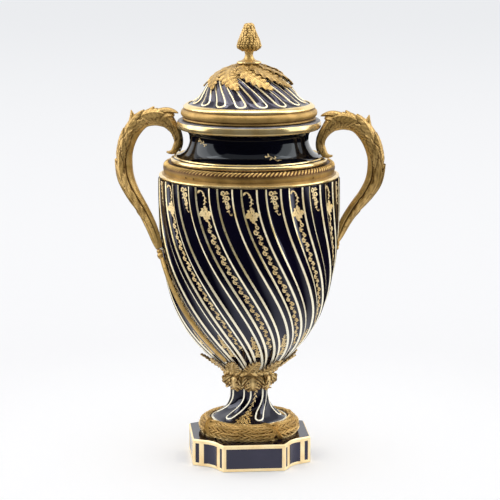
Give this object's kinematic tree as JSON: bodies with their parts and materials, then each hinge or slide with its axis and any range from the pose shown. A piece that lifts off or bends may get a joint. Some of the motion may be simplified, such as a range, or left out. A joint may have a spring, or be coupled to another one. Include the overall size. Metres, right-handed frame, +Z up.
{
  "type": "mantel urn",
  "caption": "Covered porcelain urn with twisted flutes, gilt-bronze scroll handles and mounts, a leaf-crowned lid with a pine-cone finial, and a square plinth.",
  "frame": {"origin": "on the urn's axis, at the underside of the plinth", "axes": "+Z up the axis towards the finial, +X towards the right-hand handle, -Y towards the front"},
  "size_m": [0.2822, 0.1888, 0.46],
  "materials": {
    "blue_porcelain": "high gloss dark blue glaze with gilt lines and sprigs",
    "gilt_bronze": "matte gilt casting with burnished edges"
  },
  "bodies": {
    "root": {"plinth": "blue_porcelain", "laurel_band": "gilt_bronze", "foot": "blue_porcelain", "leaf_knop": "gilt_bronze", "leaf_calyx": "gilt_bronze", "body": "blue_porcelain", "collar": "gilt_bronze", "neck": "blue_porcelain", "handle_right": "gilt_bronze", "handle_left": "gilt_bronze", "lid": "blue_porcelain", "lid_rim": "gilt_bronze", "lid_leaves": "gilt_bronze", "finial": "gilt_bronze"}
  },
  "joints": []
}
